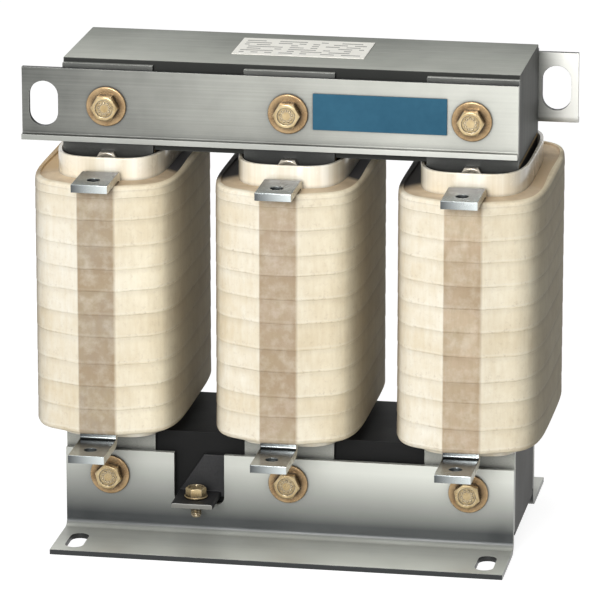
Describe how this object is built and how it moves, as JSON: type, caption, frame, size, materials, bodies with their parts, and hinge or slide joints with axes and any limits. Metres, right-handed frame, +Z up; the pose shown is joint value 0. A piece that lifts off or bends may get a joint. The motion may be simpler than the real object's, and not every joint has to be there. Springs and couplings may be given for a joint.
{
  "type": "line reactor",
  "caption": "Line reactor: laminated iron core with taped coils on its limbs, flat-bar terminal lugs, folded clamp rails, slotted foot angles and an earth bolt.",
  "frame": {"origin": "on the mounting surface, below the middle of the core and centred between the fixing slots", "axes": "+X along the core towards the right end, +Y from the lug side to the rear, +Z up"},
  "size_m": [0.294, 0.193, 0.2683],
  "materials": {
    "core_steel": "varnished lamination edges, satin",
    "sheet_steel": "zinc-plated sheet, satin",
    "spacer_board": "glass-fibre board, matt",
    "former_laminate": "cream insulating tube, glossy",
    "wedge_wood": "hardwood strip, matt",
    "winding_copper": "enamelled copper strip, satin",
    "coil_tape": "cream tape, varnished, half gloss",
    "terminal_bar": "tinned copper bar, satin",
    "gold_zinc": "yellow passivated zinc, half gloss",
    "earth_steel": "dark grey, satin",
    "plate_blue": "blue, half matt, bare",
    "label_paper": "white, matt, bare"
  },
  "bodies": {
    "root": {"e_core_stack": "core_steel", "top_yoke_stack": "core_steel", "front_strap_1": "sheet_steel", "front_strap_2": "sheet_steel", "front_strap_3": "sheet_steel", "rear_strap_1": "sheet_steel", "rear_strap_2": "sheet_steel", "rear_strap_3": "sheet_steel", "front_top_rail": "sheet_steel", "rear_top_rail": "sheet_steel", "front_foot_angle": "sheet_steel", "rear_foot_angle": "sheet_steel", "air_gap_spacer_1": "spacer_board", "air_gap_spacer_2": "spacer_board", "air_gap_spacer_3": "spacer_board", "coil_former_1": "former_laminate", "coil_former_2": "former_laminate", "coil_former_3": "former_laminate", "coil_wedges_1": "wedge_wood", "coil_wedges_2": "wedge_wood", "coil_wedges_3": "wedge_wood", "winding_1": "winding_copper", "winding_2": "winding_copper", "winding_3": "winding_copper", "tape_wrap_1": "coil_tape", "tape_wrap_2": "coil_tape", "tape_wrap_3": "coil_tape", "top_terminal_1": "terminal_bar", "top_terminal_2": "terminal_bar", "top_terminal_3": "terminal_bar", "bottom_terminal_1": "terminal_bar", "bottom_terminal_2": "terminal_bar", "bottom_terminal_3": "terminal_bar", "top_clamp_bolts": "gold_zinc", "bottom_clamp_bolts": "gold_zinc", "top_clamp_washers": "gold_zinc", "bottom_clamp_washers": "gold_zinc", "top_clamp_nuts": "gold_zinc", "bottom_clamp_nuts": "gold_zinc", "limb_bolts": "gold_zinc", "limb_bolt_nuts": "gold_zinc", "earth_bolt": "gold_zinc", "earth_tab": "earth_steel", "front_plate": "plate_blue", "top_label": "label_paper"}
  },
  "joints": []
}
